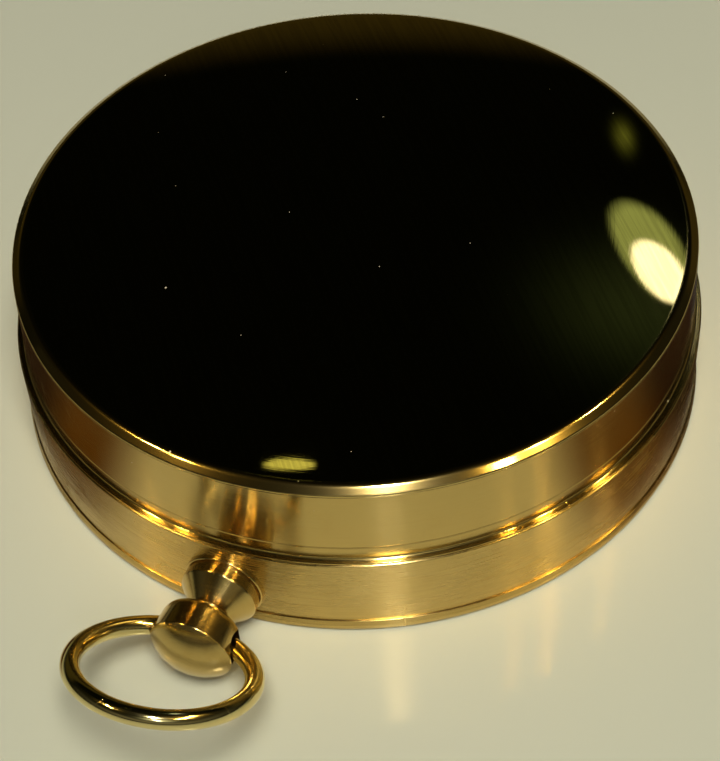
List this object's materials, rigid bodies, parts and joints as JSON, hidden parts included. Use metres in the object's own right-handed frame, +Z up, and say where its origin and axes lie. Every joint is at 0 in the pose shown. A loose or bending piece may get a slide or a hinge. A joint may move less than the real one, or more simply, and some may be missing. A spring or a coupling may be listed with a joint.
{
  "type": "pocket compass",
  "caption": "Round brass pocket compass with a domed hinged lid, a push crown on a short neck and a wire bow ring; needle, dial and crystal inside.",
  "frame": {"origin": "centre of the case's resting face, on the table", "axes": "+Z up out of the lid, +Y from the crown to the hinge, so the crown and its ring point along -Y"},
  "size_m": [0.0504, 0.0672, 0.0154],
  "materials": {
    "brass_polished": "polished",
    "brass_satin": "satin",
    "steel": "satin",
    "blued_steel": "semi-gloss",
    "dial_enamel": "satin",
    "silvered_brass": "satin",
    "crystal_glass": "clear",
    "gasket_rubber": "matte",
    "jewel": "clear"
  },
  "bodies": {
    "case": {"case_body": "brass_satin", "case_back": "brass_satin", "bowl": "brass_satin", "dial_plate": "dial_enamel", "degree_ring": "silvered_brass", "dial_screw_e": "brass_polished", "dial_screw_w": "brass_polished", "crystal_gasket": "gasket_rubber", "crystal": "crystal_glass", "bezel": "brass_polished", "pivot_boss": "brass_polished", "pivot_pin": "steel", "pendant": "brass_polished", "catch_screw": "steel", "case_hinge": "brass_polished", "hinge_pin": "steel"},
    "lid": {"lid_band": "brass_polished", "lid_dome": "brass_polished", "lid_hinge": "brass_polished", "lid_keeper": "brass_satin"},
    "crown": {"crown_stem": "steel", "crown_head": "brass_polished", "stem_collar": "steel"},
    "bow": {"bow_ring": "brass_polished"},
    "catch": {"catch_lever": "steel"},
    "needle": {"needle_blade": "blued_steel", "needle_cap": "brass_polished", "cap_jewel": "jewel", "balance_clip": "brass_polished"}
  },
  "joints": [
    {"name": "lid_hinge", "type": "hinge", "parent": "case", "child": "lid", "pos_m": [0, 0.0262, 0.0072], "axis": [-1, 0, 0], "range_deg": [0, 105]},
    {"name": "crown_push", "type": "slide", "parent": "case", "child": "crown", "axis": [0, 1, 0], "range_m": [0, 0.0005], "stiffness_N_per_m": 4000, "springref_m": -0.0002},
    {"name": "catch_swing", "type": "hinge", "parent": "case", "child": "catch", "pos_m": [-0.01187, -0.019, 0.00385], "axis": [0, 0, 1], "range_deg": [0, 2.5]},
    {"name": "bow_swing", "type": "hinge", "parent": "crown", "child": "bow", "pos_m": [0, -0.0295, 0.0034], "axis": [-1, 0, 0], "range_deg": [-42, 77]},
    {"name": "needle_spin", "type": "hinge", "parent": "case", "child": "needle", "pos_m": [0, 0, 0.00656], "axis": [0, 0, 1], "continuous": true}
  ],
  "couplings": [
    {"joint": "catch_swing", "follows": "crown_push", "rad_per_m": 84.245}
  ]
}
